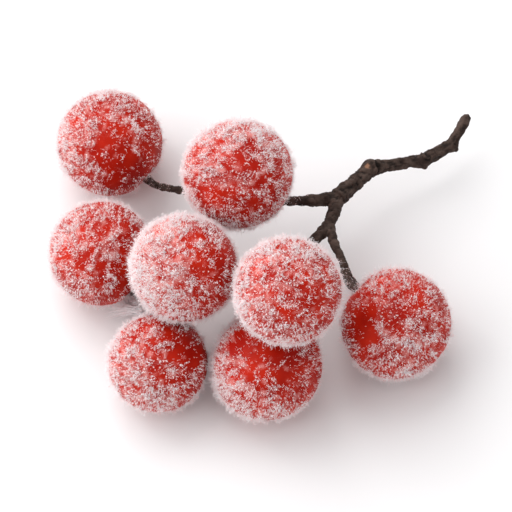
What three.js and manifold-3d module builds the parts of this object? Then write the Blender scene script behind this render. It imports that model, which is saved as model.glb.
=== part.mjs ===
// A sprig of eight frosted red berries on a forked woody twig, lying on a flat surface.
// Millimetres, +Z up. The origin is the bottom centre of the sprig's box.
import * as THREE from 'three';
import { mergeVertices } from 'three/addons/utils/BufferGeometryUtils.js';
import Module from 'manifold-3d';

const wasm = await Module();
wasm.setup();

// Berries. The frost counts in a berry's size.
const berryRadius = 5.15; // an ordinary berry; each one adds its own `plumper`
const berryGap = 0.15; // least space between two berries
const frostPress = 0.12; // how far the frost is crushed flat where a berry lies
const dimpleRadius = 1.1; // hollow around the stalk
const dimpleDepth = 0.6;
const scarRadius = 0.8; // small dent at the blossom end, opposite the stalk
const scarDepth = 0.18;

// Twig.
const stemRadius = 0.76; // main stem at the fork
const middleRadius = 0.6; // main stem between its knuckles
const tipRadius = 0.49; // main stem's last piece
const endTaper = 0.8; // how much thinner the very end of the stem is
const branchRadius = 0.56; // a side branch where it leaves the fork
const twigletRadius = 0.44; // a side branch further out
const stalkRadius = 0.36; // the stalk of one berry
const knuckle = 1.22; // how much thicker a limb is where it bends or divides
const stalkFlare = 1.35; // how much thicker a stalk is where it meets its berry
const spurLength = 0.85; // small blunt stub at a knuckle of the stem
const spurRootRadius = 0.66;
const spurTipRadius = 0.16;
const stalkClearance = 0.3; // space between a stalk and the berry that it ends in
const branchClearance = 0.4; // space between a branch and a berry that it passes
const stalkStraight = 0.5; // straight run of a stalk just outside its dimple

// The main stem's lengths from knuckle to knuckle, with the way each one points in degrees.
const internodes = [
  { length: 5.05, heading: 48.5, rise: -10.5, radius: stemRadius },
  { length: 6.0, heading: 20, rise: -19, radius: middleRadius },
  { length: 3.25, heading: 32, rise: -1, radius: middleRadius },
  { length: 3.25, heading: 57, rise: 27, radius: tipRadius },
];

const bend = 0.16; // share of such a piece over which it bends into its neighbours

// A course is a heading, a rise and a length: the way and the distance from one point to the
// next. The fork, and where a branch passes a berry, are given as a course off that berry.
const forkOffMiddle = [0.3, -27.7, 5.5];
const backFirst = [190, 6, 2.2];
const backSecond = [184, 0, 4.7]; // from the fork too
const backUnderMiddle = [100, -83, branchRadius + branchClearance];
const forkToSplit = [254, 10, 3.0];
const splitToFront = [236, 9, 2.4];
const frontUnderRight = [98, -53, 5.0];
const frontUnderLeft = [115, -79, 1.9];
const splitToRight = [-83, 14, 2.6];
const rightPastBerry = [133.5, 22, 2.8];

// How far along its branch each of the other stalks leaves, as a share of the branch's length.
const backStalks = { berry_back_middle: 0.38 };
const frontStalks = {
  berry_upper_right: 0.36,
  berry_front_right: 0.5,
  berry_upper_left: 0.7,
  berry_front_left: 0.92,
};

// The heading and the rise of the spur on each knuckle of the stem, from the fork outwards.
const spurWays = [[150, 30], [-60, -25], [-35, -15]];

const berrySides = 24;
const berryRows = 20;
const limbSides = 10;
const stalkSides = 8;
const stepLength = 0.55; // along a limb

// Each berry is laid against an earlier one, `from`, with its centre towards `heading` and the
// space `gap` between the two. A berry with a `rise` is held up by the twig at that angle above
// the earlier one, and the others lie on the surface. `stalk` is where its stalk enters, as a
// heading and a rise from its centre. Angles are in degrees, and heading turns from +X to +Y.
const berries = [
  { name: 'berry_front_right', plumper: 0.12, stalk: [94, 10] },
  {
    name: 'berry_front_left', plumper: -0.35, stalk: [95, 12],
    from: 'berry_front_right', heading: 177, gap: 0.17,
  },
  {
    name: 'berry_left', plumper: -0.05, stalk: [-47, -16],
    from: 'berry_front_left', heading: 116.6, gap: 2.85,
  },
  {
    name: 'berry_back_left', plumper: 0.1, stalk: [-40, -18],
    from: 'berry_left', heading: 87, gap: 1.55,
  },
  {
    name: 'berry_right', plumper: 0.19, stalk: [141, 18],
    from: 'berry_front_right', heading: 19.5, gap: 2.4,
  },
  {
    name: 'berry_upper_left', plumper: -0.1, stalk: [20, -72],
    from: 'berry_front_left', heading: 67.5, rise: 46, gap: 0.17,
  },
  {
    name: 'berry_upper_right', plumper: -0.12, stalk: [70, -48],
    from: 'berry_front_right', heading: 58.5, rise: 69, gap: 0.17,
  },
  {
    name: 'berry_back_middle', plumper: 0.15, stalk: [5, -70],
    from: 'berry_upper_left', heading: 63.5, rise: 1, gap: 0.6,
  },
];

const berryColour = 0xb3241f;
const barkColour = 0x3d2e28;

// The unit vector that points towards a heading and a rise, both in degrees.
function direction(heading, rise) {
  const turn = THREE.MathUtils.degToRad(heading);
  const lift = THREE.MathUtils.degToRad(rise);
  return new THREE.Vector3(
    Math.cos(turn) * Math.cos(lift),
    Math.sin(turn) * Math.cos(lift),
    Math.sin(lift),
  );
}

function lies(berry) {
  return berry.rise === undefined;
}

// Gives every berry its radius and its centre, from the berries before it in the list.
function placeBerries(list) {
  const placed = {};
  for (const berry of list) {
    berry.radius = berryRadius + berry.plumper;
    const floorHeight = berry.radius - frostPress;
    if (!berry.from) {
      berry.centre = new THREE.Vector3(0, 0, floorHeight);
    } else {
      const earlier = placed[berry.from];
      const reach = earlier.radius + berry.gap + berry.radius;
      const drop = floorHeight - earlier.centre.z;
      const rise = lies(berry) ? THREE.MathUtils.radToDeg(Math.asin(drop / reach)) : berry.rise;
      berry.centre = direction(berry.heading, rise).multiplyScalar(reach).add(earlier.centre);
    }
    placed[berry.name] = berry;
  }
  return placed;
}

// Moves apart any two berries that are closer than the least gap. Lying berries stay down.
function easeApart(list) {
  const rounds = 200;
  for (let round = 0; round < rounds; round += 1) {
    for (const one of list) {
      for (const other of list) {
        const between = new THREE.Vector3().subVectors(other.centre, one.centre);
        const shortBy = one.radius + other.radius + berryGap - between.length();
        if (one === other || shortBy <= 0) {
          continue;
        }
        const push = between.normalize().multiplyScalar(shortBy / 2);
        one.centre.sub(lies(one) ? push.clone().setZ(0) : push);
        other.centre.add(lies(other) ? push.clone().setZ(0) : push);
      }
    }
  }
}

function onwards(start, heading, rise, length) {
  return direction(heading, rise).multiplyScalar(length).add(start);
}

// The point a given distance off a berry's surface, towards a heading and a rise.
function off(berry, heading, rise, distance) {
  return onwards(berry.centre, heading, rise, berry.radius + distance);
}

function toManifold(geometry) {
  const bare = geometry.clone();
  bare.deleteAttribute('normal');
  bare.deleteAttribute('uv');
  const merged = mergeVertices(bare);
  const corners = merged.index.array;
  const kept = [];
  for (let i = 0; i < corners.length; i += 3) {
    const [a, b, c] = corners.subarray(i, i + 3);
    if (a !== b && b !== c && c !== a) {
      kept.push(a, b, c); // a pole's triangles that have closed up are left out
    }
  }
  return new wasm.Manifold(new wasm.Mesh({
    numProp: 3,
    vertProperties: new Float32Array(merged.attributes.position.array),
    triVerts: new Uint32Array(kept),
  }));
}

function toGeometry(manifold) {
  const mesh = manifold.getMesh();
  const geometry = new THREE.BufferGeometry();
  geometry.setAttribute('position', new THREE.BufferAttribute(mesh.vertProperties, 3));
  geometry.setIndex(new THREE.BufferAttribute(mesh.triVerts, 1));
  geometry.computeVertexNormals();
  return geometry;
}

// A round berry about its own stalk, hollowed at the stalk and dented at the blossom end.
function berrySolid(berry) {
  const profile = [];
  for (let row = 0; row <= berryRows; row += 1) {
    const angle = (Math.PI * row) / berryRows;
    const across = row === berryRows ? 0 : berry.radius * Math.sin(angle);
    const dimple = Math.cos(angle) > 0 ? dimpleDepth * Math.exp(-((across / dimpleRadius) ** 2)) : 0;
    const scar = Math.cos(angle) < 0 ? scarDepth * Math.exp(-((across / scarRadius) ** 2)) : 0;
    profile.push(new THREE.Vector2(across, berry.radius * Math.cos(angle) - dimple + scar));
  }
  const geometry = new THREE.LatheGeometry(profile.reverse(), berrySides);
  const stalkWay = direction(...berry.stalk);
  const turned = new THREE.Quaternion().setFromUnitVectors(new THREE.Vector3(0, 1, 0), stalkWay);
  geometry.applyQuaternion(turned);
  return geometry;
}

// Cuts a lying berry flat where it rests, at the height of the surface below its centre.
function flattened(geometry, berry) {
  const width = 3 * berry.radius;
  const ground = new THREE.BoxGeometry(width, width, width);
  ground.translate(0, 0, -berry.centre.z - width / 2);
  return toGeometry(toManifold(geometry).subtract(toManifold(ground)));
}

function makeBerry(berry) {
  const whole = berrySolid(berry);
  const geometry = lies(berry) ? flattened(whole, berry) : whole;
  const skin = new THREE.MeshStandardMaterial({ color: berryColour, roughness: 0.6, metalness: 0 });
  const mesh = new THREE.Mesh(geometry, skin);
  mesh.name = berry.name;
  mesh.position.copy(berry.centre);
  return mesh;
}

// A round limb along a smooth curve through points, with a radius given at each point.
function limb(points, radii, sides) {
  const curve = new THREE.CatmullRomCurve3(points, false, 'centripetal');
  const steps = Math.max(4, Math.round(curve.getLength() / stepLength));
  const frames = curve.computeFrenetFrames(steps, false);
  const geometry = new THREE.CylinderGeometry(1, 1, 1, sides, steps);
  const place = geometry.attributes.position;
  const vertex = new THREE.Vector3();
  for (let i = 0; i < place.count; i += 1) {
    vertex.fromBufferAttribute(place, i);
    const step = Math.round((vertex.y + 0.5) * steps);
    const along = curve.getUtoTmapping(step / steps) * (points.length - 1);
    const before = Math.min(Math.floor(along), points.length - 2);
    const radius = THREE.MathUtils.lerp(radii[before], radii[before + 1], along - before);
    const centre = curve.getPointAt(step / steps);
    centre.addScaledVector(frames.normals[step], vertex.x * radius);
    centre.addScaledVector(frames.binormals[step], -vertex.z * radius);
    place.setXYZ(i, centre.x, centre.y, centre.z);
  }
  return { curve, solid: toManifold(geometry) };
}

// The last two points of a stalk: straight in, and ending just short of the dimple's floor.
function intoDimple(berry) {
  return [
    off(berry, ...berry.stalk, stalkStraight),
    off(berry, ...berry.stalk, stalkClearance - dimpleDepth),
  ];
}

// A berry's own stalk, leaving a limb at a share of its length.
function stalk(parent, share, berry) {
  const start = parent.curve.getPointAt(share);
  const points = [start, ...intoDimple(berry)];
  return limb(points, [stalkRadius, stalkRadius, stalkRadius * stalkFlare], stalkSides);
}

// The main stem, from the fork to its cut end, thickened at each knuckle. Its knuckles are the
// points where two pieces meet.
function mainStem(fork) {
  const points = [fork];
  const radii = [stemRadius * knuckle];
  const knuckles = [];
  for (const part of internodes) {
    const start = points[points.length - 1];
    for (const share of [bend, 1 - bend, 1]) {
      points.push(onwards(start, part.heading, part.rise, part.length * share));
    }
    radii.push(part.radius, part.radius, part.radius * knuckle);
    knuckles.push(points[points.length - 1]);
  }
  radii[radii.length - 1] = tipRadius * endTaper;
  return { ...limb(points, radii, limbSides), knuckles: knuckles.slice(0, -1) };
}

// A small blunt stub at a knuckle, the mark of a shoot that has fallen.
function spur(knucklePoint, [heading, rise]) {
  const tip = onwards(knucklePoint, heading, rise, spurLength);
  return limb([knucklePoint, tip], [spurRootRadius, spurTipRadius], stalkSides);
}

// The back branch passes under the middle berry to the back left one.
function makeBackBranch(fork, berry) {
  return limb(
    [
      fork,
      onwards(fork, ...backFirst),
      onwards(fork, ...backSecond),
      off(berry.berry_back_middle, ...backUnderMiddle),
      ...intoDimple(berry.berry_back_left),
    ],
    [branchRadius * knuckle, branchRadius, twigletRadius, twigletRadius, stalkRadius,
      stalkRadius * stalkFlare],
    limbSides,
  );
}

// The front branch runs on under the upper berries to the left one.
function makeFrontBranch(fork, split, berry) {
  return limb(
    [
      fork,
      split,
      onwards(split, ...splitToFront),
      off(berry.berry_upper_right, ...frontUnderRight),
      off(berry.berry_upper_left, ...frontUnderLeft),
      ...intoDimple(berry.berry_left),
    ],
    [branchRadius * knuckle, branchRadius, twigletRadius * knuckle, twigletRadius, stalkRadius,
      stalkRadius, stalkRadius * stalkFlare],
    limbSides,
  );
}

// The right branch leaves the front one where that divides, and bows out and down.
function makeRightBranch(split, berry) {
  return limb(
    [
      split,
      onwards(split, ...splitToRight),
      off(berry.berry_right, ...rightPastBerry),
      ...intoDimple(berry.berry_right),
    ],
    [twigletRadius, stalkRadius * knuckle, stalkRadius, stalkRadius * stalkFlare,
      stalkRadius * stalkFlare],
    limbSides,
  );
}

function makeTwig(berry) {
  const fork = off(berry.berry_back_middle, ...forkOffMiddle);
  const split = onwards(fork, ...forkToSplit);
  const stem = mainStem(fork);
  const backBranch = makeBackBranch(fork, berry);
  const frontBranch = makeFrontBranch(fork, split, berry);
  const limbs = [
    stem,
    backBranch,
    frontBranch,
    makeRightBranch(split, berry),
    ...Object.entries(backStalks).map(([name, share]) => stalk(backBranch, share, berry[name])),
    ...Object.entries(frontStalks).map(([name, share]) => stalk(frontBranch, share, berry[name])),
    ...spurWays.map((way, index) => spur(stem.knuckles[index], way)),
  ];
  const solid = limbs.map((part) => part.solid).reduce((sum, part) => sum.add(part));
  const bark = new THREE.MeshStandardMaterial({ color: barkColour, roughness: 0.85, metalness: 0 });
  const mesh = new THREE.Mesh(toGeometry(solid), bark);
  mesh.name = 'twig';
  return mesh;
}

const placed = placeBerries(berries);
easeApart(berries);

const sprig = new THREE.Group();
sprig.add(makeTwig(placed), ...berries.map(makeBerry));

// The sprig is moved so that the middle of its box is over the origin. It already lies at z = 0.
const box = new THREE.Box3().setFromObject(sprig, true);
const middleOfBox = box.getCenter(new THREE.Vector3());
sprig.position.set(-middleOfBox.x, -middleOfBox.y, -box.min.z);

const model = new THREE.Group();
model.add(sprig);

export default model;
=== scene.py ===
import bpy
import numpy as np
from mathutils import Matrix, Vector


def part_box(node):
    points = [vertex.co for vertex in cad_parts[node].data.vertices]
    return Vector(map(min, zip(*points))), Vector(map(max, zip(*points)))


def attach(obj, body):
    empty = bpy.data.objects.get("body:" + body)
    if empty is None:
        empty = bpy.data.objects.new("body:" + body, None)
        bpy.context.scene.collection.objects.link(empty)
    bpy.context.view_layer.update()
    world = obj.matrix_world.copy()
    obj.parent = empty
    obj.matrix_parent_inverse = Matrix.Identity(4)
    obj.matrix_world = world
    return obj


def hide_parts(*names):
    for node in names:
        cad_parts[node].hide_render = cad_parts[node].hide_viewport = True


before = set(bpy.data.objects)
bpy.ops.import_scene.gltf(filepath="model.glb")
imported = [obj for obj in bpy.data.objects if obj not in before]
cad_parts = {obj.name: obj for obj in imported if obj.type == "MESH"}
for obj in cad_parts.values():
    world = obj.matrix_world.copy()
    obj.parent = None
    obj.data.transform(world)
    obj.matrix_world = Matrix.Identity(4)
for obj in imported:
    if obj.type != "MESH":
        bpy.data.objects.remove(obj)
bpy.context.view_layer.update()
print("stage: frame loaded")

mm = 0.001


def direction(heading, rise):  # unit vector towards a heading and a rise, in degrees
    turn, lift = np.radians(heading), np.radians(rise)
    return np.array([np.cos(turn) * np.cos(lift), np.sin(turn) * np.cos(lift), np.sin(lift)])


def unit(vectors):
    return vectors / np.maximum(np.linalg.norm(vectors, axis=-1, keepdims=True), 1e-12)


def smooth(low, high, x):  # 0 below low, 1 above high, and an S curve between
    t = np.clip((x - low) / (high - low), 0, 1)
    return t * t * (3 - 2 * t)


# A soft random field of unit spread: a sum of cosine waves of about one length, each in its own
# random direction and with its own phase.
def ripples(points, wavelength, seed, waves=40):
    rng = np.random.default_rng(seed)
    ways = unit(rng.normal(size=(waves, 3))) * rng.uniform(0.7, 1.4, (waves, 1))
    phases = rng.uniform(0, 2 * np.pi, waves)
    return np.sqrt(2 / waves) * np.cos(points @ ways.T * (2 * np.pi / wavelength) + phases).sum(1)


# Two unit vectors square to each given unit vector, and to each other.
def across(ways):
    helper = np.where(np.abs(ways[:, 2:3]) < 0.9, [[0.0, 0.0, 1.0]], [[1.0, 0.0, 0.0]])
    first = unit(np.cross(ways, helper))
    return first, np.cross(ways, first)


# Puts arrays of points and triangles into a mesh object, with a map place per triangle corner
# and named numbers per point.
def meshObject(name, points, faces, material, mapPlaces=None, numbers=None, soft=True):
    mesh = bpy.data.meshes.new(name)
    mesh.vertices.add(len(points))
    mesh.vertices.foreach_set("co", np.ascontiguousarray(points, np.float32).ravel())
    mesh.loops.add(faces.size)
    mesh.loops.foreach_set("vertex_index", np.ascontiguousarray(faces, np.int32).ravel())
    mesh.polygons.add(len(faces))
    mesh.polygons.foreach_set("loop_start", np.arange(0, faces.size, 3, dtype=np.int32))
    mesh.update(calc_edges=True)
    mesh.polygons.foreach_set("use_smooth", np.full(len(faces), soft))
    if mapPlaces is not None:
        layer = mesh.uv_layers.new(name="OFBake")
        layer.uv.foreach_set("vector", np.ascontiguousarray(mapPlaces, np.float32).ravel())
    for key, values in (numbers or {}).items():
        stored = mesh.attributes.new(key, "FLOAT", "POINT")
        stored.data.foreach_set("value", np.ascontiguousarray(values, np.float32))
    mesh.materials.append(material)
    made = bpy.data.objects.new(name, mesh)
    bpy.context.scene.collection.objects.link(made)
    return made


# Triangles of a surface that closes round itself: rings of points, then one pole at each end.
# The pole points come after the rings. The map runs once round and once from pole to pole.
def ringFaces(rings, sides):
    grid = np.meshgrid(np.arange(rings - 1), np.arange(sides), indexing="ij")
    row, column = (numbers.ravel() for numbers in grid)
    here, beside = row * sides + column, row * sides + (column + 1) % sides
    around = np.arange(sides)
    after = (around + 1) % sides
    lastRing = (rings - 1) * sides
    faces = np.concatenate([
        np.stack([here, beside, beside + sides], 1),
        np.stack([here, beside + sides, here + sides], 1),
        np.stack([np.full(sides, rings * sides), after, around], 1),
        np.stack([np.full(sides, rings * sides + 1), lastRing + around, lastRing + after], 1),
    ])

    def place(ring, side):
        return np.stack([side / sides, (ring + 1) / (rings + 1)], -1)

    zero, end = np.full(sides, 0), np.full(sides, rings - 1)
    return faces, np.concatenate([
        np.stack([place(row, column), place(row, column + 1), place(row + 1, column + 1)], 1),
        np.stack([place(row, column), place(row + 1, column + 1), place(row + 1, column)], 1),
        np.stack([place(zero - 1, around + 0.5), place(zero, around + 1), place(zero, around)], 1),
        np.stack([place(end + 1, around + 0.5), place(end, around), place(end, around + 1)], 1),
    ])


class Value:  # a node's output, with arithmetic that adds Math nodes
    def __init__(self, tree, socket=None):
        self.tree, self.socket = tree, socket

    # Adds one node: its settings are set first, then its sockets are given values or links.
    # Returns the named output, or the first.
    def add(self, kind, settings, inputs, output=0):
        made = self.tree.nodes.new(kind)
        for key, value in settings.items():
            setattr(made, key, value)
        for key, value in inputs.items():
            if isinstance(value, Value):
                self.tree.links.new(value.socket, made.inputs[key])
            else:
                made.inputs[key].default_value = value
        return Value(self.tree, made.outputs[output])

    def math(self, operation, one, other):
        return self.add("ShaderNodeMath", {"operation": operation}, {0: one, 1: other})

    def __add__(self, other):
        return self.math("ADD", self, other)

    def __sub__(self, other):
        return self.math("SUBTRACT", self, other)

    def __rsub__(self, other):
        return self.math("SUBTRACT", other, self)

    def __mul__(self, other):
        return self.math("MULTIPLY", self, other)

    __radd__ = __add__
    __rmul__ = __mul__

    def clamped(self, low, high):  # 0 below low, 1 above high, a straight line between
        return self.add("ShaderNodeMapRange", {"clamp": True}, {0: self, 1: low, 2: high, 3: 0, 4: 1})


def mixed(graph, factor, one, other):  # colour between one and other
    one, other = (c if isinstance(c, Value) else (*c, 1) for c in (one, other))
    settings = {"data_type": "RGBA", "clamp_factor": True}
    return graph.add("ShaderNodeMix", settings, {0: factor, 6: one, 7: other}, 2)


def objectPlace(graph):
    return graph.add("ShaderNodeTexCoord", {}, {}, "Object")


def noise(graph, place, size, detail=2.0, roughness=0.5):  # size is a feature's width in metres
    inputs = {"Vector": place, "Scale": 1 / size, "Detail": detail, "Roughness": roughness}
    return graph.add("ShaderNodeTexNoise", {}, inputs, "Fac")


def attribute(graph, name):
    return graph.add("ShaderNodeAttribute", {"attribute_name": name}, {}, "Fac")


def newMaterial(name, build):
    material = bpy.data.materials.new(name)
    material.use_nodes = True
    graph = Value(material.node_tree)
    graph.tree.nodes.clear()
    shader = build(graph)
    end = graph.tree.nodes.new("ShaderNodeOutputMaterial")
    graph.tree.links.new(shader.socket, end.inputs["Surface"])
    return material


def bumped(graph, height, strength, distance):
    inputs = {"Height": height, "Strength": strength, "Distance": distance}
    return graph.add("ShaderNodeBump", {}, inputs, "Normal")


skinLook = {
    "deep": (0.36, 0.006, 0.001),
    "bright": (0.53, 0.018, 0.004),
    "patchSize": 2.2 * mm,  # of the deep and the bright patches
    "film": (0.90, 0.46, 0.43),  # thin frost that is too fine to be grains
    "filmShare": 0.55,
    "filmSize": 0.11 * mm,
    "filmBreak": 1.6,  # how unevenly it lies
    "poreSize": 0.12 * mm,
    "roughness": 0.38,
    "gloss": 0.10,
    "glow": 0.25,  # share of the light that goes through the flesh
    "glowReach": 1.0 * mm,
    "glowColour": (1.0, 0.12, 0.08),
    "bump": 0.35,
    "bumpDepth": 0.05 * mm,
}


def skinShader(graph):
    look = skinLook
    place = objectPlace(graph)
    patches = noise(graph, place, look["patchSize"], 2).clamped(0.35, 0.68)
    pores = noise(graph, place, look["poreSize"], 3)
    red = mixed(graph, patches, look["deep"], look["bright"])
    broken = look["filmBreak"] * (noise(graph, place, look["filmSize"], 3, 0.7) - 0.5)
    crust = (attribute(graph, "cover") + broken).clamped(0.45, 1.15)
    return graph.add("ShaderNodeBsdfPrincipled", {}, {
        "Base Color": mixed(graph, crust * look["filmShare"], red, look["film"]),
        "Roughness": look["roughness"] + 0.4 * crust + 0.12 * pores,
        "Subsurface Weight": look["glow"],
        "Subsurface Radius": look["glowColour"],
        "Subsurface Scale": look["glowReach"],
        "Specular IOR Level": look["gloss"],
        "Normal": bumped(graph, pores + 1.5 * crust, look["bump"], look["bumpDepth"]),
    })


frostLook = {
    "white": (0.98, 0.96, 0.98),
    "pink": (0.92, 0.52, 0.50),
    "clumpSize": 0.5 * mm,
    "clumpTint": 0.25,  # how much pinker the clumps are than the rest
    "speckSize": 0.09 * mm,
    "roughness": 0.18,
    "gloss": 0.5,
    "glow": 0.5,  # share of the light that goes through the ice
    "glowReach": 0.12 * mm,
    "glowColour": (1.0, 0.9, 0.9),
    "bump": 0.3,
    "bumpDepth": 0.02 * mm,
}


def frostShader(graph):
    look = frostLook
    place = objectPlace(graph)
    clumps = noise(graph, place, look["clumpSize"], 2).clamped(0.38, 0.66)
    specks = noise(graph, place, look["speckSize"], 1)
    tint = attribute(graph, "tint") + look["clumpTint"] * clumps - 0.12
    return graph.add("ShaderNodeBsdfPrincipled", {}, {
        "Base Color": mixed(graph, tint, look["white"], look["pink"]),
        "Roughness": look["roughness"] + 0.3 * specks,
        "Subsurface Weight": look["glow"],
        "Subsurface Radius": look["glowColour"],
        "Subsurface Scale": look["glowReach"],
        "Specular IOR Level": look["gloss"],
        "Normal": bumped(graph, specks, look["bump"], look["bumpDepth"]),
    })


barkLook = {
    # painted shade: the near-black colour of the bark's creases and low places
    "creaseShade": (0.006, 0.003, 0.002),
    "dark": (0.028, 0.015, 0.011),
    "brown": (0.090, 0.060, 0.048),
    "patchSize": 1.1 * mm,  # of the dark and the brown patches
    "fibreSize": 0.14 * mm,
    "scar": (0.27, 0.14, 0.085),
    "veil": (0.34, 0.27, 0.26),  # thin frost
    "veilShare": 0.3,  # how much of it hides the bark where it is thickest
    "veilSize": 0.15 * mm,
    "roughness": 0.6,
    "gloss": 0.2,
    "bump": 0.5,
    "bumpDepth": 0.06 * mm,
}


def barkShader(graph):
    look = barkLook
    place = objectPlace(graph)
    reliefAndShade = attribute(graph, "reliefAndShade")
    patches = noise(graph, place, look["patchSize"], 3, 0.6).clamped(0.36, 0.66)
    fibres = noise(graph, place, look["fibreSize"], 4, 0.65)
    brown = mixed(graph, patches, look["dark"], look["brown"])
    # Painted shade: the bark darkens to near black where it lies low, in its creases, rings and
    # hollows, and keeps its brown where it is raised.
    creaseShaded = mixed(graph, (reliefAndShade + 0.5 * fibres).clamped(0.1, 0.95), look["creaseShade"], brown)
    scarred = mixed(graph, attribute(graph, "scar"), creaseShaded, look["scar"])
    broken = noise(graph, place, look["veilSize"], 3, 0.7) - 0.5
    dust = (attribute(graph, "veil") + broken).clamped(0.3, 1.3)
    return graph.add("ShaderNodeBsdfPrincipled", {}, {
        "Base Color": mixed(graph, dust * look["veilShare"], scarred, look["veil"]),
        "Roughness": look["roughness"] + 0.3 * fibres,
        "Specular IOR Level": look["gloss"],
        "Normal": bumped(graph, fibres + 0.5 * reliefAndShade, look["bump"], look["bumpDepth"]),
    })


skinMaterial = newMaterial("berrySkin", skinShader)
frostMaterial = newMaterial("frost", frostShader)
barkMaterial = newMaterial("bark", barkShader)
print("stage: materials")


cameraSet = {
    "rise": 64,  # degrees above the surface, looking along +Y
    "distance": 250 * mm,
    "aim": (-0.6 * mm, -0.8 * mm, 6 * mm),
    "seenWidth": 49.0 * mm,  # width of the view at the aim point
    "sensor": 36.0,
    "nearest": 1 * mm,  # nothing nearer than this is seen
}
towardsCamera = direction(-90, cameraSet["rise"])
viewRight = np.array([1.0, 0.0, 0.0])
viewUp = np.cross(towardsCamera, viewRight)


def makeCamera():
    lens = bpy.data.cameras.new("camera")
    lens.sensor_width = cameraSet["sensor"]
    lens.lens = cameraSet["sensor"] * cameraSet["distance"] / cameraSet["seenWidth"]
    lens.clip_start = cameraSet["nearest"]
    camera = bpy.data.objects.new("camera", lens)
    camera.location = np.array(cameraSet["aim"]) + cameraSet["distance"] * towardsCamera
    camera.rotation_euler = (np.radians(90 - cameraSet["rise"]), 0, 0)
    bpy.context.scene.collection.objects.link(camera)
    bpy.context.scene.camera = camera


makeCamera()
print("stage: camera")


# Frost patches are (right, up, reach, strength): how far the patch is to the right of and above
# the middle of the berry, in radii as the camera sees it, how far it reaches, in radii, and how
# much frost it adds, or takes away if it is below nothing. `stalk` is a heading and a rise.
berries = {
    "berry_back_left": {
        "stalk": (-40, -18), "seed": 11, "frost": 0.46,
        "patches": [(0.25, -0.55, 0.42, -0.7), (0.0, 0.15, 0.3, -0.35), (0.75, -0.3, 0.3, -0.2),
                    (0.38, 0.35, 0.2, 0.55), (-0.7, -0.2, 0.5, 0.3), (0.0, 0.95, 0.35, 0.3)],
    },
    "berry_back_middle": {
        "stalk": (5, -70), "seed": 12, "frost": 0.52,
        "patches": [(0.1, 0.4, 0.22, -0.7), (-0.7, -0.35, 0.25, -0.3), (0.1, 0.9, 0.35, 0.6),
                    (0.62, 0.35, 0.25, 0.45), (-0.2, 0.55, 0.25, 0.3), (-0.35, -0.45, 0.3, -0.2)],
    },
    "berry_left": {
        "stalk": (-47, -16), "seed": 13, "frost": 0.48,
        "patches": [(-0.3, -0.1, 0.2, -0.6), (-0.15, 0.5, 0.2, -0.4), (0.5, 0.45, 0.25, -0.2),
                    (0.6, -0.3, 0.4, -0.4), (0.02, -0.15, 0.08, 1.2), (-0.5, 0.45, 0.3, 0.35),
                    (0.2, 0.15, 0.22, 0.45)],
    },
    "berry_upper_left": {
        "stalk": (20, -72), "seed": 14, "frost": 0.60,
        "patches": [(0.55, 0.2, 0.35, -0.45), (0.85, -0.25, 0.3, -0.4), (-0.75, -0.1, 0.5, 0.35),
                    (-0.1, 0.9, 0.35, 0.45), (-0.25, -0.8, 0.45, 0.15), (0.0, 0.0, 0.25, 0.15)],
    },
    "berry_upper_right": {
        "stalk": (70, -48), "seed": 15, "frost": 0.55,
        "patches": [(-0.35, 0.4, 0.2, -0.3), (0.0, -0.45, 0.25, -0.35), (0.6, -0.15, 0.25, -0.25),
                    (0.15, 0.75, 0.35, 0.45), (0.8, 0.2, 0.2, 0.2), (-0.85, -0.3, 0.3, 0.4),
                    (0.1, -0.9, 0.4, 0.25)],
    },
    "berry_front_left": {
        "stalk": (95, 12), "seed": 16, "frost": 0.48,
        "patches": [(-0.05, 0.75, 0.4, -0.5), (0.65, 0.3, 0.4, -0.6), (-0.5, 0.1, 0.35, 0.3),
                    (0.15, -0.7, 0.4, 0.4), (0.0, -0.15, 0.2, 0.4), (0.0, 0.4, 0.12, 0.5)],
    },
    "berry_front_right": {
        "stalk": (94, 10), "seed": 17, "frost": 0.48,
        "patches": [(-0.1, 0.35, 0.45, -0.9), (-0.3, -0.35, 0.13, -0.6), (0.25, -0.45, 0.13, -0.7),
                    (-0.65, -0.45, 0.35, 0.5), (0.3, -0.85, 0.4, 0.4), (-0.15, -0.12, 0.13, 0.7)],
    },
    "berry_right": {
        "stalk": (141, 18), "seed": 18, "frost": 0.50,
        "patches": [(-0.75, 0.05, 0.45, -0.8), (-0.5, -0.5, 0.2, -0.3), (-0.4, 0.58, 0.12, 0.7),
                    (0.1, -0.02, 0.22, 0.6), (0.3, -0.35, 0.35, 0.3), (0.2, -0.85, 0.35, 0.4),
                    (0.0, 0.4, 0.2, -0.2)],
    },
}

skinSet = {
    "frostDepth": 0.12 * mm,  # the skin lies this far inside the berry's frosted size
    "sides": 150,
    "rings": 96,
    "dimpleRadius": 1.1 * mm,
    "dimpleDepth": 0.45 * mm,
    "scarRadius": 0.8 * mm,
    "scarDepth": 0.16 * mm,
    "swell": 0.009,  # how uneven the ball is, as a share of its radius
    "swellLength": 2.2,  # from one swell to the next, in radii
    "coverBreak": 0.22,  # how unevenly the thin film lies on it
    "coverSize": 0.9 * mm,
}

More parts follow.
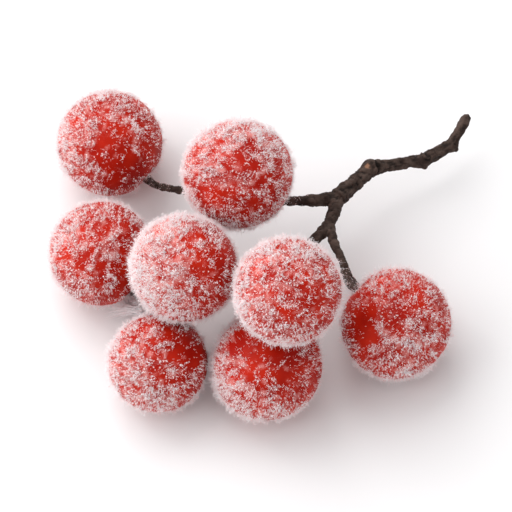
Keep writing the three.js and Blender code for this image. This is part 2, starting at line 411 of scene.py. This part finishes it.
frostSet = {
    "tries": 108000,  # places tried on each berry
    "clumps": [(0.16, 1.5 * mm), (0.17, 0.55 * mm), (0.30, 0.22 * mm)],  # strength and size
    "keepFrom": (0.52, 1.12),  # a place is kept if it is thicker than a random number in here
    "thickest": 1.3,
    "windward": direction(162, 12),  # the side where more of it settled
    "wind": 0.17,
    "backPatches": 0.24,  # how bare and thick the patches are on the side away from the camera
    "backSize": 1.0,  # and their size, in radii
    "leastCover": 0.12,  # a few specks lie even on the barest skin
    "patchWobble": 0.18,  # how uneven the outlines of the patches are, in radii
    "wobbleSize": 0.5,  # from one bulge of an outline to the next, in radii
    "pile": 0.32 * mm,  # how high grains lie on one another where the frost is thick
    "heapSize": 0.45 * mm,
    "floor": 0.01 * mm,  # the lowest that a grain reaches
    "grains": 8000,  # most grains kept
    "grainShare": 5,  # one kept place in this many is a grain, and the others are needles
    "grainSize": (0.03 * mm, 0.095 * mm),
    "grainStretch": (0.55, 1.35),
    "needles": 33000,  # most needles kept
    "needleLength": (0.07 * mm, 0.43 * mm),
    "needleWidth": (0.009 * mm, 0.026 * mm),
    "needleLean": 68,  # degrees from upright
    "fuzzShare": 0.09,  # share of the needles that stand up as fuzz
    "fuzzLean": 45,
    "fuzzStretch": 1.8,  # how much longer they are than the others
    "fuzzSpread": 1.1,  # and how much wider
    "tintAt": 0.88,  # frost is white if it is thicker than this, and pinker the thinner it is
    "tintSpread": 0.65,
}


# The middle and the frosted radius of a berry, from its CAD box. A lying berry is cut flat below.
def measure(name):
    low, high = (np.array(corner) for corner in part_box(name))
    radius = max(high[0] - low[0], high[1] - low[1]) / 2
    return np.array([(low[0] + high[0]) / 2, (low[1] + high[1]) / 2, high[2] - radius]), radius


# How much of the berry's skin is frosted towards each unit vector, about 0 to 1: its own
# ordinary cover, more to windward, plus each patch, which fades as a bell curve of the angle
# to its middle. The side away from the camera has random patches.
def frostCover(berry, ways):
    cover = berry["frost"] + frostSet["wind"] * (ways @ frostSet["windward"])
    seeds = (berry["seed"] + k for k in (40, 41, 42))
    wobble = np.stack([ripples(ways, frostSet["wobbleSize"], seed) for seed in seeds], 1)
    bent = unit(ways + frostSet["patchWobble"] * wobble)
    for right, up, reach, strength in berry["patches"]:
        away = np.sqrt(max(1 - right ** 2 - up ** 2, 0))
        middle = right * viewRight + up * viewUp + away * towardsCamera
        angle = np.arccos(np.clip(bent @ unit(middle), -1, 1))
        cover += strength * np.exp(-((angle / reach) ** 2))
    behind = smooth(-0.2, 0.5, -ways @ towardsCamera)
    cover += frostSet["backPatches"] * behind * ripples(ways, frostSet["backSize"], berry["seed"] + 9)
    return np.maximum(cover, frostSet["leastCover"])


# Distance of the skin from the berry's middle towards each unit vector: a ball with slow
# swells, a bell shaped dimple at the stalk and a shallow dent at the blossom end.
def skinRadius(berry, ways):
    ball = berry["radius"] - skinSet["frostDepth"]
    swell = 1 + skinSet["swell"] * ripples(ways, skinSet["swellLength"], berry["seed"])
    along = ways @ direction(*berry["stalk"])
    aside = ball * np.sqrt(np.maximum(1 - along ** 2, 0))
    dimple = skinSet["dimpleDepth"] * np.exp(-((aside / skinSet["dimpleRadius"]) ** 2)) * (along > 0)
    scar = skinSet["scarDepth"] * np.exp(-((aside / skinSet["scarRadius"]) ** 2)) * (along < 0)
    return ball * swell - dimple - scar


# The skin: rings of points about the stalk, from the stalk end to the blossom end.
def makeSkin(name, berry):
    rings, sides = skinSet["rings"], skinSet["sides"]
    stalkWay = direction(*berry["stalk"])[None]
    first, second = across(stalkWay)
    fall = np.pi * (np.arange(rings) + 1) / (rings + 1)
    turn = 2 * np.pi * np.arange(sides) / sides
    fall, turn = (g.ravel()[:, None] for g in np.meshgrid(fall, turn, indexing="ij"))
    ways = np.cos(fall) * stalkWay + np.sin(fall) * (np.cos(turn) * first + np.sin(turn) * second)
    ways = np.concatenate([ways, stalkWay, -stalkWay])
    points = berry["middle"] + ways * skinRadius(berry, ways)[:, None]
    points[:, 2] = np.maximum(points[:, 2], 2 * frostSet["floor"])
    faces, places = ringFaces(rings, sides)
    broken = ripples(ways * berry["radius"], skinSet["coverSize"], berry["seed"] + 5)
    cover = frostCover(berry, ways) + skinSet["coverBreak"] * broken
    skin = meshObject(name + "_skin", points, faces[:, ::-1], skinMaterial, places[:, ::-1],
                      {"cover": np.clip(cover, 0, 1.2)})
    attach(skin, "root")
    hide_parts(name)


# One small solid copied to many places: corners in its own axes, turned and stretched for each.
def scatter(corners, faces, places, axes, sizes):
    local = corners[None] * sizes[:, None]
    points = places[:, None] + np.einsum("nkj,nji->nki", local, axes)
    shift = len(corners) * np.arange(len(places))
    return points.reshape(-1, 3), (faces[None] + shift[:, None, None]).reshape(-1, 3)


grainCorners = np.array([(1, 0, 0), (-1, 0, 0), (0, 1, 0), (0, -1, 0), (0, 0, 1), (0, 0, -1)], float)
grainFaces = np.array([(4, 0, 2), (4, 2, 1), (4, 1, 3), (4, 3, 0),
                       (5, 2, 0), (5, 1, 2), (5, 3, 1), (5, 0, 3)])
needleCorners = np.array([(1, 0, 0), (-0.5, 0.87, 0), (-0.5, -0.87, 0), (0, 0, 1)], float)
needleFaces = np.array([(0, 1, 3), (1, 2, 3), (2, 0, 3), (2, 1, 0)])


# Axes whose third one points along each given way, turned about it at random.
def axesAlong(rng, ways):
    first, second = across(ways)
    spin = rng.uniform(0, 2 * np.pi, (len(ways), 1))
    one = np.cos(spin) * first + np.sin(spin) * second
    return np.stack([one, np.cross(ways, one), ways], 1)


def randomAxes(rng, count):
    return axesAlong(rng, unit(rng.normal(size=(count, 3))))


# Puts grains and needles into one mesh. Each part is (points, faces, how many solids), and each
# solid has its own square cell of the map, which all its faces share.
def frostObject(name, parts, tints):
    points = np.concatenate([part[0] for part in parts])
    points[:, 2] = np.maximum(points[:, 2], frostSet["floor"])
    pointStart = np.cumsum([0] + [len(part[0]) for part in parts])
    solidStart = np.cumsum([0] + [part[2] for part in parts])
    faces = np.concatenate([part[1] + start for part, start in zip(parts, pointStart)])
    number = np.concatenate([start + np.repeat(np.arange(part[2]), len(part[1]) // part[2])
                             for part, start in zip(parts, solidStart)])
    cells = int(np.ceil(np.sqrt(solidStart[-1])))
    corner = np.stack([number % cells, number // cells], 1)[:, None]
    places = (corner + np.array([(0.15, 0.15), (0.85, 0.15), (0.15, 0.85)])[None]) / cells
    frost = meshObject(name, points, faces, frostMaterial, places, {"tint": tints}, soft=False)
    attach(frost, "root")
    print("stage:", name, len(faces), "faces")


# Grains: small solids that lie on the skin and on each other, each with its own stretch and turn.
def berryGrains(rng, middle, ways, skin, pile):
    count = len(ways)
    low, high = frostSet["grainSize"]
    size = low + (high - low) * rng.beta(1.4, 3.0, (count, 1))
    lift = pile * rng.uniform(0, 1, count)
    places = middle + ways * (skin + lift + 0.3 * size[:, 0])[:, None]
    stretch = size * rng.uniform(*frostSet["grainStretch"], (count, 3))
    return scatter(grainCorners, grainFaces, places, randomAxes(rng, count), stretch)


# Needles: they stand on the skin or in the pile and lean from upright by a random angle. Some
# are longer and stand steeper, as fuzz.
def berryNeedles(rng, middle, ways, skin, pile, thickness):
    many = len(ways)
    fuzzy = rng.uniform(0, 1, many) < frostSet["fuzzShare"]
    steepest = np.where(fuzzy, frostSet["fuzzLean"], frostSet["needleLean"])
    lean = np.radians(steepest * rng.uniform(0, 1, many))[:, None]
    aside = axesAlong(rng, ways)[:, 0]
    pointing = unit(np.cos(lean) * ways + np.sin(lean) * aside)
    low, high = frostSet["needleLength"]
    length = (low + (high - low) * rng.beta(1.5, 2.5, many)) * (0.6 + 0.5 * np.clip(thickness, 0, 1))
    length *= np.where(fuzzy, frostSet["fuzzStretch"], 1)
    width = rng.uniform(*frostSet["needleWidth"], many) * np.where(fuzzy, frostSet["fuzzSpread"], 1)
    lift = pile * rng.uniform(0, 1, many) ** 1.5
    foot = middle + ways * (skin + lift)[:, None]
    sizes = np.stack([width, width, length], 1)
    return scatter(needleCorners, needleFaces, foot, axesAlong(rng, pointing), sizes)


# Frost on a berry: places are tried at random all over the skin, and kept where the cover and
# three sizes of random clumps together pass a random threshold.
def makeFrost(name, berry):
    rng = np.random.default_rng(berry["seed"])
    ways = unit(rng.normal(size=(frostSet["tries"], 3)))
    thickness = frostCover(berry, ways)
    for k, (strength, size) in enumerate(frostSet["clumps"]):
        thickness += strength * ripples(ways * berry["radius"], size, berry["seed"] + 1 + k)
    kept = thickness > rng.uniform(*frostSet["keepFrom"], len(ways))
    ways, thickness = ways[kept], np.clip(thickness[kept], 0, frostSet["thickest"])
    skin = skinRadius(berry, ways)
    heaps = ripples(ways * berry["radius"], frostSet["heapSize"], berry["seed"] + 6)
    pile = frostSet["pile"] * np.clip(0.5 + 0.8 * heaps, 0, 1.4) * thickness

    count = min(frostSet["grains"], len(ways) // frostSet["grainShare"])
    many = min(frostSet["needles"], len(ways) - count)
    first, then = slice(0, count), slice(count, count + many)
    grains = berryGrains(rng, berry["middle"], ways[first], skin[first], pile[first])
    needles = berryNeedles(rng, berry["middle"], ways[then], skin[then], pile[then], thickness[then])

    spread = rng.uniform(-frostSet["tintSpread"], frostSet["tintSpread"], count + many)
    thin = np.clip(frostSet["tintAt"] - thickness[:count + many] + spread, 0, 1)
    tints = np.repeat(thin, [len(grainCorners)] * count + [len(needleCorners)] * many)
    frostObject(name + "_frost", [(*grains, count), (*needles, many)], tints)


for name, berry in berries.items():
    berry["middle"], berry["radius"] = measure(name)
    makeSkin(name, berry)
    makeFrost(name, berry)


twigSet = {
    "stem": 0.76 * mm,  # radii, from the thickest limb to the thinnest
    "middle": 0.60 * mm,
    "tip": 0.49 * mm,
    "endTaper": 0.8,
    "branch": 0.56 * mm,
    "twiglet": 0.44 * mm,
    "stalk": 0.36 * mm,
    "knuckle": 1.22,  # how much thicker a limb is where it bends or divides
    "flare": 1.35,  # and where it meets a berry
    "internodes": [  # millimetres, heading, rise and size of each piece of the main stem
        (5.05, 48.5, -10.5, "stem"),
        (6.0, 20, -19, "middle"),
        (3.25, 32, -1, "middle"),
        (3.25, 57, 27, "tip"),
    ],
    # Each course is a heading, a rise, and a length or a distance off a berry in millimetres.
    "forkOffMiddle": (0.3, -27.7, 5.5),
    "backFirst": (190, 6, 2.2),
    "backSecond": (184, 0, 4.7),
    "backUnderMiddle": (100, -83, 0.96),
    "forkToSplit": (254, 10, 3.0),
    "splitToFront": (236, 9, 2.4),
    "frontUnderRight": (98, -53, 5.0),
    "frontUnderLeft": (115, -79, 1.9),
    "splitToRight": (-83, 14, 2.6),
    "rightPastBerry": (133.5, 22, 2.8),
    "stalks": [  # which limb a stalk leaves, how far along it, and the berry it holds
        (1, 0.38, "berry_back_middle"),
        (2, 0.36, "berry_upper_right"),
        (2, 0.50, "berry_front_right"),
        (2, 0.70, "berry_upper_left"),
        (2, 0.92, "berry_front_left"),
    ],
    "stalkStraight": 0.5 * mm,  # straight run of a stalk outside its berry
    "stalkSink": 0.1 * mm,  # how far its end is sunk in the skin
    "bend": 0.16,  # share of an internode over which it bends into the next
    "spurs": [  # stem points of the root and the tip, and the heading and rise it leans out to
        (3, 3, 150, 30),
        (5, 6, -68, -18),
        (8, 9, -38, -12),
    ],
    "spurLength": 0.76,  # in millimetres
    "spurRadii": [0.62 * mm, 0.22 * mm],
    "sides": 24,
    "step": 0.12 * mm,
    "grid": 0.064 * mm,  # size of the cells that the limbs are joined on
}


def off(name, heading, rise, distance):  # a point off a berry, in millimetres from its frost
    berry = berries[name]
    return berry["middle"] + direction(heading, rise) * (berry["radius"] + distance * mm)


def onwards(start, heading, rise, length):
    return start + direction(heading, rise) * length * mm


# A smooth path through points: each stretch is the cubic whose slope at a point is set by its
# two neighbours. Radii are carried along in the same way.
def pathThrough(points, radii, step):
    rows = np.column_stack([np.array(points), np.array(radii)])
    padded = np.vstack([2 * rows[0] - rows[1], rows, 2 * rows[-1] - rows[-2]])
    found = []
    for a, b, c, d in zip(padded, padded[1:], padded[2:], padded[3:]):
        count = max(3, int(np.linalg.norm(c[:3] - b[:3]) / step))
        t = np.linspace(0, 1, count, endpoint=False)[:, None]
        spans = [max(np.linalg.norm((q - p)[:3]) ** 0.5, 1e-6) for p, q in ((a, b), (b, c), (c, d))]
        leave = (c - b) + spans[1] * ((b - a) / spans[0] - (c - a) / (spans[0] + spans[1]))
        arrive = (c - b) + spans[1] * ((d - c) / spans[2] - (d - b) / (spans[1] + spans[2]))
        found.append((2 * t ** 3 - 3 * t ** 2 + 1) * b + (t ** 3 - 2 * t ** 2 + t) * leave
                     + (3 * t ** 2 - 2 * t ** 3) * c + (t ** 3 - t ** 2) * arrive)
    found.append(rows[-1:])
    path = np.concatenate(found)
    return path[:, :3], path[:, 3]


# Two axes square to a path at each of its points, turned as little as the path lets them.
def pathAxes(path):
    ways = unit(np.gradient(path, axis=0))
    first = [across(ways[:1])[0][0]]
    for way in ways[1:]:
        first.append(unit(first[-1] - way * (first[-1] @ way)))
    first = np.array(first)
    return ways, first, np.cross(ways, first)


# A round limb: circles of the carried radius about the path, closed at each end.
def limbMesh(path, radius):
    sides = twigSet["sides"]
    ways, first, second = pathAxes(path)
    turn = 2 * np.pi * np.arange(sides) / sides
    ring = np.cos(turn)[None, :, None] * first[:, None] + np.sin(turn)[None, :, None] * second[:, None]
    points = (path[:, None] + ring * radius[:, None, None]).reshape(-1, 3)
    ends = np.stack([path[0] - ways[0] * radius[0] * 0.5, path[-1] + ways[-1] * radius[-1] * 0.5])
    faces, _ = ringFaces(len(path), sides)
    return np.concatenate([points, ends]), faces[:, ::-1]


def intoDimple(name):  # a stalk's last two points: outside its berry, and sunk in the dimple
    stalk = berries[name]["stalk"]
    sunk = (skinSet["frostDepth"] + skinSet["dimpleDepth"] + twigSet["stalkSink"]) / mm
    return [off(name, *stalk, twigSet["stalkStraight"] / mm), off(name, *stalk, -sunk)]


# The main stem's points from knuckle to knuckle, with a bend near each, and its radii.
def mainStem(fork):
    s = twigSet
    points, radii = [fork], [s["stem"] * s["knuckle"]]
    shares = (s["bend"], 1 - s["bend"], 1)
    for length, heading, rise, size in s["internodes"]:
        start = points[-1]
        points += [onwards(start, heading, rise, length * share) for share in shares]
        radii += [s[size] * 1.1, s[size], s[size] * s["knuckle"]]
    radii[-1] = s["tip"] * s["endTaper"]
    return points, radii


# Every limb's path and radii: stem, back branch, front branch, right branch, then the stalks
# that leave them and the spurs on the stem's knuckles.
def limbs():
    s = twigSet
    twiglet, stalk, flare = s["twiglet"], s["stalk"], s["stalk"] * s["flare"]
    base = s["branch"] * s["knuckle"]
    fork = off("berry_back_middle", *s["forkOffMiddle"])
    split = onwards(fork, *s["forkToSplit"])
    stem, stemRadii = mainStem(fork)
    back = [fork, onwards(fork, *s["backFirst"]), onwards(fork, *s["backSecond"]),
            off("berry_back_middle", *s["backUnderMiddle"]), *intoDimple("berry_back_left")]
    front = [fork, split, onwards(split, *s["splitToFront"]),
             off("berry_upper_right", *s["frontUnderRight"]),
             off("berry_upper_left", *s["frontUnderLeft"]), *intoDimple("berry_left")]
    right = [split, onwards(split, *s["splitToRight"]), off("berry_right", *s["rightPastBerry"]),
             *intoDimple("berry_right")]
    plans = [
        (stem, stemRadii),
        (back, [base, s["branch"], twiglet, twiglet, stalk, flare]),
        (front, [base, s["branch"], twiglet * s["knuckle"], twiglet, stalk, stalk, flare]),
        (right, [twiglet, stalk * s["knuckle"], stalk, flare, flare]),
    ]
    made = [pathThrough(points, radii, s["step"]) for points, radii in plans]
    for parent, share, name in s["stalks"]:
        path = made[parent][0]
        start = path[int(share * (len(path) - 1))]
        made.append(pathThrough([start, *intoDimple(name)], [stalk, stalk, flare], s["step"]))
    for root, knuckle, heading, rise in s["spurs"]:
        tip = onwards(stem[knuckle], heading, rise, s["spurLength"])
        made.append(pathThrough([stem[root], tip], s["spurRadii"], s["step"]))
    return made, [stem[3], stem[6], stem[9]]


# Joins the limbs on a fine grid and reads the one closed surface back as arrays.
def joined(parts):
    points = np.concatenate([p for p, _ in parts])
    start = np.cumsum([0] + [len(p) for p, _ in parts[:-1]])
    faces = np.concatenate([f + s for (_, f), s in zip(parts, start)])
    rough = meshObject("twigRough", points, faces, barkMaterial)
    remesh = rough.modifiers.new("join", "REMESH")
    remesh.mode = "VOXEL"
    remesh.voxel_size = twigSet["grid"]
    triangles = rough.modifiers.new("triangles", "TRIANGULATE")
    triangles.quad_method = "SHORTEST_DIAGONAL"
    done = rough.evaluated_get(bpy.context.evaluated_depsgraph_get()).to_mesh()
    points = np.empty(len(done.vertices) * 3, np.float32)
    faces = np.empty(len(done.polygons) * 3, np.int32)
    done.vertices.foreach_get("co", points)
    done.loops.foreach_get("vertex_index", faces)
    bpy.data.objects.remove(rough)
    return points.reshape(-1, 3).astype(float), faces.reshape(-1, 3)


# For each point of the joined twig: the nearest place on any limb's path.
def nearest(points, paths):
    path = np.concatenate(paths)
    squares = (path ** 2).sum(1)
    found = [np.argmin(squares - 2 * chunk @ path.T, axis=1) for chunk in np.array_split(points, 40)]
    return np.concatenate(found)


barkSet = {
    "fullness": 0.035 * mm,  # how far all of it stands out, to make up for the creases
    "wrinkles": 0.075 * mm,  # how deep the creases round a limb are
    "wrinkleSize": 1.0 * mm,
    "ridges": 0.030 * mm,
    "ridgeSize": 0.45 * mm,
    "lumps": 0.045 * mm,
    "lumpSize": 0.8 * mm,
    "grain": 0.012 * mm,
    "grainSize": 0.25 * mm,
    "limbShift": 7 * mm,  # between one limb's creases and the next one's, so that they differ
    "rings": [  # knuckle, millimetres past it and depth in millimetres of each ring on the stem
        (0, 0.42, 0.20), (0, -1.5, 0.08), (1, -0.35, 0.09), (1, 0.30, 0.15), (2, -0.3, 0.07),
    ],
    "ringWidth": 0.14 * mm,
    "ringWaver": 0.07 * mm,  # how far a ring strays along the stem
    "waverSize": 0.9 * mm,
    "scarPlace": (-0.34, 0.12, 0.82),  # right, up and nearer, in millimetres from the knuckle
    "scarWidth": 0.31 * mm,
    "scarDepth": 0.06 * mm,
    "frostReach": 2.0 * mm,  # frost lies on a limb within about this distance of a berry
}


# How far each point of the twig goes out from its round limb, in metres: creases round the
# limb where a random field passes through nothing, ridges along it, lumps and a fine grain.
def barkRelief(points, east, north, along, thick):
    around = np.stack([east * 0.45, north * 0.45, along], 1)
    lengthwise = np.stack([east, north, along * 0.22], 1)
    crease = np.exp(-((ripples(around, barkSet["wrinkleSize"], 32) / 0.5) ** 2))
    ridge = 1 - np.abs(ripples(lengthwise, barkSet["ridgeSize"], 31))
    height = barkSet["fullness"] + barkSet["ridges"] * ridge - barkSet["wrinkles"] * crease
    height += barkSet["lumps"] * ripples(points, barkSet["lumpSize"], 33)
    height += barkSet["grain"] * ripples(points, barkSet["grainSize"], 34)
    return height * np.clip(thick / twigSet["stem"], 0.6, 1)


# Grooves round the main stem, beside its knuckles: bell curves of the distance along it, whose
# middles waver a little.
def ringDepth(points, along, path, knuckles):
    lengths = pathLengths(path)
    deep = np.zeros(len(points))
    for knuckle, past, depth in barkSet["rings"]:
        middle = lengths[np.argmin(np.linalg.norm(path - knuckles[knuckle], axis=1))]
        wavy = barkSet["ringWaver"] * ripples(points, barkSet["waverSize"], 35 + knuckle)
        away = (along - middle - past * mm + wavy) / barkSet["ringWidth"]
        deep += depth * mm * np.exp(-(away ** 2))
    return deep


# How far each point is from the middle of the fallen bud's scar, in widths of the scar.
def scarDistance(points, knuckle):
    right, up, nearer = np.array(barkSet["scarPlace"]) * mm
    middle = knuckle + right * viewRight + up * viewUp + nearer * towardsCamera
    return np.linalg.norm(points - middle, axis=1) / barkSet["scarWidth"]


def pathLengths(path):
    return np.cumsum([0, *np.linalg.norm(np.diff(path, axis=0), axis=1)])


def makeTwig():
    made, knuckles = limbs()
    points, faces = joined([limbMesh(path, radius) for path, radius in made])
    paths = [path for path, _ in made]
    close = nearest(points, paths)
    axes = [pathAxes(path) for path in paths]
    first, second = (np.concatenate([a[k] for a in axes])[close] for k in (1, 2))
    limb = np.repeat(np.arange(len(paths)), [len(path) for path in paths])[close]
    along = np.concatenate([pathLengths(path) for path in paths])[close] + barkSet["limbShift"] * limb
    thick = np.concatenate([radius for _, radius in made])[close]
    outward = unit(points - np.concatenate(paths)[close])
    east, north = (outward * first).sum(1) * thick, (outward * second).sum(1) * thick
    height = barkRelief(points, east, north, along, thick)
    height -= ringDepth(points, along, paths[0], knuckles) * (limb == 0)
    # The scar is a shallow pale hollow with a raised lip.
    away = scarDistance(points, knuckles[0])
    height += barkSet["scarDepth"] * (np.exp(-(((away - 1.25) / 0.35) ** 2)) - np.exp(-(away ** 2)))
    points = points + outward * height[:, None]
    scar = 1 - smooth(0.6, 1.1, away + 0.15 * ripples(points, 0.3 * mm, 36))
    veil = nearBerry(points) * (0.8 + 0.3 * ripples(points, 0.6 * mm, 38))
    # The relief number also carries the painted shade of the creases into the bark's colour.
    twig = meshObject("twig_bark", points, faces, barkMaterial, None,
                      {"reliefAndShade": smooth(-0.11 * mm, 0.08 * mm, height), "scar": scar, "veil": veil})
    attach(twig, "root")
    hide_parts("twig")
    print("stage: twig_bark", len(faces), "faces")
    frostTwig(points, faces, outward)


# How near each point is to a berry: 1 at its frost, fading as a bell curve of the distance.
def nearBerry(points):
    apart = np.min([np.linalg.norm(points - b["middle"], axis=1) - b["radius"]
                    for b in berries.values()], axis=0)
    return np.exp(-((np.maximum(apart, 0) / barkSet["frostReach"]) ** 2))


tuftSet = {  # pale frosted fibres that trail from the stalk of berry_left
    "fibres": 640,
    "heading": 157,
    "headingSpread": 13,
    "rise": -33,
    "riseSpread": 8,
    "length": (1.0 * mm, 4.4 * mm),
    "width": (0.015 * mm, 0.045 * mm),
    "start": (-51, -19, 1.5),  # heading, rise and millimetres off the berry
    "startSpread": 0.22 * mm,
}


# A fan of long needles from one place on the stalk.
def makeTuft():
    rng = np.random.default_rng(21)
    many = tuftSet["fibres"]
    headings = rng.normal(tuftSet["heading"], tuftSet["headingSpread"], many)
    rises = rng.normal(tuftSet["rise"], tuftSet["riseSpread"], many)
    pointing = np.stack([direction(heading, rise) for heading, rise in zip(headings, rises)])
    width, length = (rng.uniform(*tuftSet[size], many) for size in ("width", "length"))
    start = off("berry_left", *tuftSet["start"]) + tuftSet["startSpread"] * rng.normal(size=(many, 3))
    sizes = np.stack([width, width, length], 1)
    fibres = scatter(needleCorners, needleFaces, start, axesAlong(rng, pointing), sizes)
    tints = np.repeat(rng.uniform(0, 0.4, many), len(needleCorners))
    frostObject("twig_tuft", [(*fibres, many)], tints)


twigFrostSet = {
    "tries": 60000,
    "share": 0.22,  # share of the places kept beside a berry
    "clumps": 0.14,
    "clumpSize": 0.5 * mm,
    "grainShare": 4,  # one in this many is a grain
    "grainSize": (0.015 * mm, 0.057 * mm),
    "grainStretch": (0.6, 1.2),
    "needleWidth": (0.006, 0.016),  # in millimetres
    "needleLength": (0.12, 0.45),  # in millimetres
    "needleSpread": 0.6,  # how far they lean from upright
}


# Grains and needles on the limbs, thicker the nearer a berry is.
def frostTwig(points, faces, outward):
    rng = np.random.default_rng(19)
    chosen = rng.integers(0, len(faces), twigFrostSet["tries"])
    places, ways = points[faces[chosen, 0]], outward[faces[chosen, 0]]
    clumps = twigFrostSet["clumps"] * ripples(places, twigFrostSet["clumpSize"], 37)
    kept = nearBerry(places) * (twigFrostSet["share"] + clumps) > rng.uniform(0.03, 1, len(places))
    places, ways = places[kept], ways[kept]
    count = len(places) // twigFrostSet["grainShare"]
    size = rng.uniform(*twigFrostSet["grainSize"], (count, 1))
    size = size * rng.uniform(*twigFrostSet["grainStretch"], (count, 3))
    grains = scatter(grainCorners, grainFaces, places[:count], randomAxes(rng, count), size)
    many = len(places) - count
    pointing = unit(ways[count:] + rng.normal(0, twigFrostSet["needleSpread"], (many, 3)))
    width = rng.uniform(*twigFrostSet["needleWidth"], many) * mm
    length = rng.uniform(*twigFrostSet["needleLength"], many) * mm
    sizes = np.stack([width, width, length], 1)
    needles = scatter(needleCorners, needleFaces, places[count:], axesAlong(rng, pointing), sizes)
    tints = np.repeat(rng.uniform(0.2, 1, len(places)),
                      [len(grainCorners)] * count + [len(needleCorners)] * many)
    frostObject("twig_frost", [(*grains, count), (*needles, many)], tints)


makeTwig()
makeTuft()


studio = {
    "floor": (0.86, 0.855, 0.86),
    "floorGrain": (0.85, 0.845, 0.85),
    "grainSize": 30 * mm,
    "floorWidth": 1.6,
    "fill": 0.60,  # strength of the light from all round
    "lamps": {  # heading, rise, distance, width and power of each square lamp
        "back": (125, 52, 0.6, 0.5, 1.95),
        "left": (180, 32, 0.8, 0.8, 4.9),
        "top": (0, 90, 0.8, 0.8, 0.75),
    },
}


def floorShader(graph):
    grain = noise(graph, objectPlace(graph), studio["grainSize"], 2)
    return graph.add("ShaderNodeBsdfPrincipled", {}, {
        "Base Color": mixed(graph, grain, studio["floor"], studio["floorGrain"]),
        "Roughness": 0.9,
        "Specular IOR Level": 0.1,
    })


def makeFloor():
    half = studio["floorWidth"] / 2
    points = np.array([(-half, -half, 0), (half, -half, 0), (half, half, 0), (-half, half, 0)])
    faces = np.array([(0, 1, 2), (0, 2, 3)])
    meshObject("floor", points, faces, newMaterial("paleFloor", floorShader))


# A square lamp that hangs towards a heading and a rise, and faces the middle.
def addLamp(name, heading, rise, distance, width, power):
    lamp = bpy.data.lights.new(name, "AREA")
    lamp.size = width
    lamp.energy = power
    hung = bpy.data.objects.new(name, lamp)
    hung.location = direction(heading, rise) * distance
    hung.rotation_euler = (0, np.radians(90 - rise), np.radians(heading))
    bpy.context.scene.collection.objects.link(hung)


def makeLights():
    world = bpy.data.worlds.new("studio")
    world.use_nodes = True
    background = world.node_tree.nodes["Background"]
    background.inputs["Color"].default_value = (1.0, 0.995, 1.0, 1)
    background.inputs["Strength"].default_value = studio["fill"]
    bpy.context.scene.world = world
    for name, lamp in studio["lamps"].items():
        addLamp(name, *lamp)
    bpy.context.scene.view_settings.view_transform = "Standard"


makeFloor()
makeLights()
print("stage: floor and lights")
